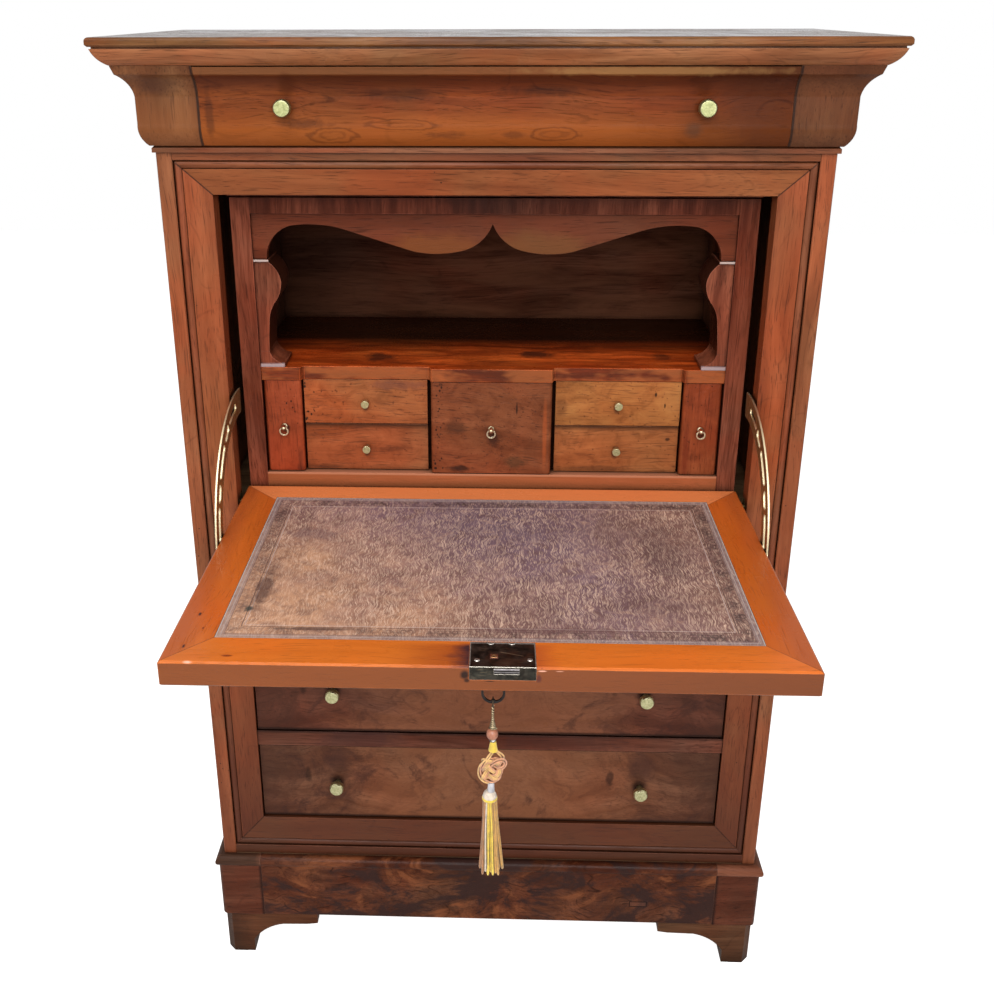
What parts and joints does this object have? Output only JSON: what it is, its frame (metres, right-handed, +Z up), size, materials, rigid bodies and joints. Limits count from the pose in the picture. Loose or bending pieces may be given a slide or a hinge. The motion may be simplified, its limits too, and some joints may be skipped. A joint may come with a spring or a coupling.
{
  "type": "fall-front secretary",
  "caption": "Walnut fall-front secretary, writing fall open on pierced brass quadrant stays, breakfront inner case, ogee cornice drawer, bracket feet, key with tassel",
  "frame": {"origin": "centre of the bounding box in plan, on the floor, with the fall open", "axes": "X to the viewer's right along the front, Y from the front into the case, Z up"},
  "size_m": [0.9306, 0.745, 1.4],
  "materials": {
    "walnut": "french polish, warm brown",
    "burr": "burr walnut veneer, french polish",
    "softwood": "waxed pine and oak",
    "brass": "aged brass",
    "lock_steel": "old bright steel",
    "iron": "dark iron",
    "hide": "worn tooled leather",
    "trimming": "gold and copper metal thread"
  },
  "bodies": {
    "case": {"top_slab": "walnut", "cornice_moulding": "walnut", "cornice_ogee": "walnut", "cornice_floor": "walnut", "side_panels": "walnut", "frame_reeds": "walnut", "frame_bevels": "walnut", "back_panel": "softwood", "dust_boards": "softwood", "case_rails": "walnut", "drawer_runners": "softwood", "base_moulding": "walnut", "plinth_frame": "walnut", "bracket_feet": "walnut", "inner_case": "softwood", "inner_face_frame": "walnut", "inner_shelf": "walnut", "niche_frieze": "walnut", "consoles": "walnut", "pivot_plates": "brass", "lock_keeper": "brass"},
    "fall": {"fall_frame": "walnut", "fall_panel": "walnut", "writing_leather": "hide", "quadrant_stays": "brass", "lock_case": "lock_steel", "escutcheon": "brass"},
    "bolt": {"lock_bolt": "lock_steel"},
    "key": {"key": "iron"},
    "tassel": {"tassel_clip": "lock_steel", "tassel_knot": "trimming", "tassel_skirt": "trimming"},
    "cornice_drawer": {"cornice_drawer_front": "burr", "cornice_drawer_box": "softwood", "cornice_drawer_knobs": "brass"},
    "upper_drawer": {"upper_drawer_front": "burr", "upper_drawer_box": "softwood", "upper_drawer_knobs": "brass"},
    "middle_drawer": {"middle_drawer_front": "burr", "middle_drawer_box": "softwood", "middle_drawer_knobs": "brass"},
    "lower_drawer": {"lower_drawer_front": "burr", "lower_drawer_box": "softwood", "lower_drawer_knobs": "brass"},
    "plinth_drawer": {"plinth_drawer_front": "burr", "plinth_drawer_box": "softwood"},
    "left_narrow_drawer": {"left_narrow_drawer": "burr"},
    "left_upper_drawer": {"left_upper_drawer": "burr", "left_upper_knob": "brass"},
    "left_lower_drawer": {"left_lower_drawer": "burr", "left_lower_knob": "brass"},
    "centre_drawer": {"centre_drawer": "burr"},
    "right_upper_drawer": {"right_upper_drawer": "burr", "right_upper_knob": "brass"},
    "right_lower_drawer": {"right_lower_drawer": "burr", "right_lower_knob": "brass"},
    "right_narrow_drawer": {"right_narrow_drawer": "burr"},
    "left_narrow_ring": {"left_narrow_ring": "brass"},
    "centre_ring": {"centre_ring": "brass"},
    "right_narrow_ring": {"right_narrow_ring": "brass"}
  },
  "joints": [
    {"name": "fall_hinge", "type": "hinge", "parent": "case", "child": "fall", "pos_m": [0, 0.0535, 0.784], "axis": [-1, 0, 0], "range_deg": [0, 90]},
    {"name": "cornice_drawer_slide", "type": "slide", "parent": "case", "child": "cornice_drawer", "axis": [0, 1, 0], "range_m": [-0.28, 0]},
    {"name": "upper_drawer_slide", "type": "slide", "parent": "case", "child": "upper_drawer", "axis": [0, -1, 0], "range_m": [0, 0.28]},
    {"name": "middle_drawer_slide", "type": "slide", "parent": "case", "child": "middle_drawer", "axis": [0, -1, 0], "range_m": [0, 0.28]},
    {"name": "lower_drawer_slide", "type": "slide", "parent": "case", "child": "lower_drawer", "axis": [0, -1, 0], "range_m": [0, 0.28]},
    {"name": "plinth_drawer_slide", "type": "slide", "parent": "case", "child": "plinth_drawer", "axis": [0, -1, 0], "range_m": [0, 0.26]},
    {"name": "left_narrow_drawer_slide", "type": "slide", "parent": "case", "child": "left_narrow_drawer", "axis": [0, 1, 0], "range_m": [-0.2, 0]},
    {"name": "left_upper_drawer_slide", "type": "slide", "parent": "case", "child": "left_upper_drawer", "axis": [0, 1, 0], "range_m": [-0.2, 0]},
    {"name": "left_lower_drawer_slide", "type": "slide", "parent": "case", "child": "left_lower_drawer", "axis": [0, 1, 0], "range_m": [-0.2, 0]},
    {"name": "centre_drawer_slide", "type": "slide", "parent": "case", "child": "centre_drawer", "axis": [0, 1, 0], "range_m": [-0.2, 0]},
    {"name": "right_upper_drawer_slide", "type": "slide", "parent": "case", "child": "right_upper_drawer", "axis": [0, 1, 0], "range_m": [-0.2, 0]},
    {"name": "right_lower_drawer_slide", "type": "slide", "parent": "case", "child": "right_lower_drawer", "axis": [0, 1, 0], "range_m": [-0.2, 0]},
    {"name": "right_narrow_drawer_slide", "type": "slide", "parent": "case", "child": "right_narrow_drawer", "axis": [0, 1, 0], "range_m": [-0.2, 0]},
    {"name": "left_narrow_ring_hinge", "type": "hinge", "parent": "left_narrow_drawer", "child": "left_narrow_ring", "pos_m": [-0.28775, 0.077, 0.88565], "axis": [1, 0, 0], "range_deg": [-80, 0]},
    {"name": "centre_ring_hinge", "type": "hinge", "parent": "centre_drawer", "child": "centre_ring", "pos_m": [0, 0.0735, 0.88565], "axis": [1, 0, 0], "range_deg": [-80, 0]},
    {"name": "right_narrow_ring_hinge", "type": "hinge", "parent": "right_narrow_drawer", "child": "right_narrow_ring", "pos_m": [0.28775, 0.077, 0.88565], "axis": [1, 0, 0], "range_deg": [-80, 0]},
    {"name": "key_turn", "type": "hinge", "parent": "fall", "child": "key", "pos_m": [0.006, -0.3515, 0.78], "axis": [0, 0, 1], "range_deg": [0, 180]},
    {"name": "bolt_slide", "type": "slide", "parent": "fall", "child": "bolt", "axis": [0, -1, 0], "range_m": [0, 0.007]},
    {"name": "tassel_swing", "type": "hinge", "parent": "key", "child": "tassel", "pos_m": [0.006, -0.3515, 0.7423], "axis": [-1, 0, 0], "range_deg": [-90, 15]}
  ],
  "couplings": [
    {"joint": "bolt_slide", "follows": "key_turn", "m_per_rad": 0.002228}
  ]
}
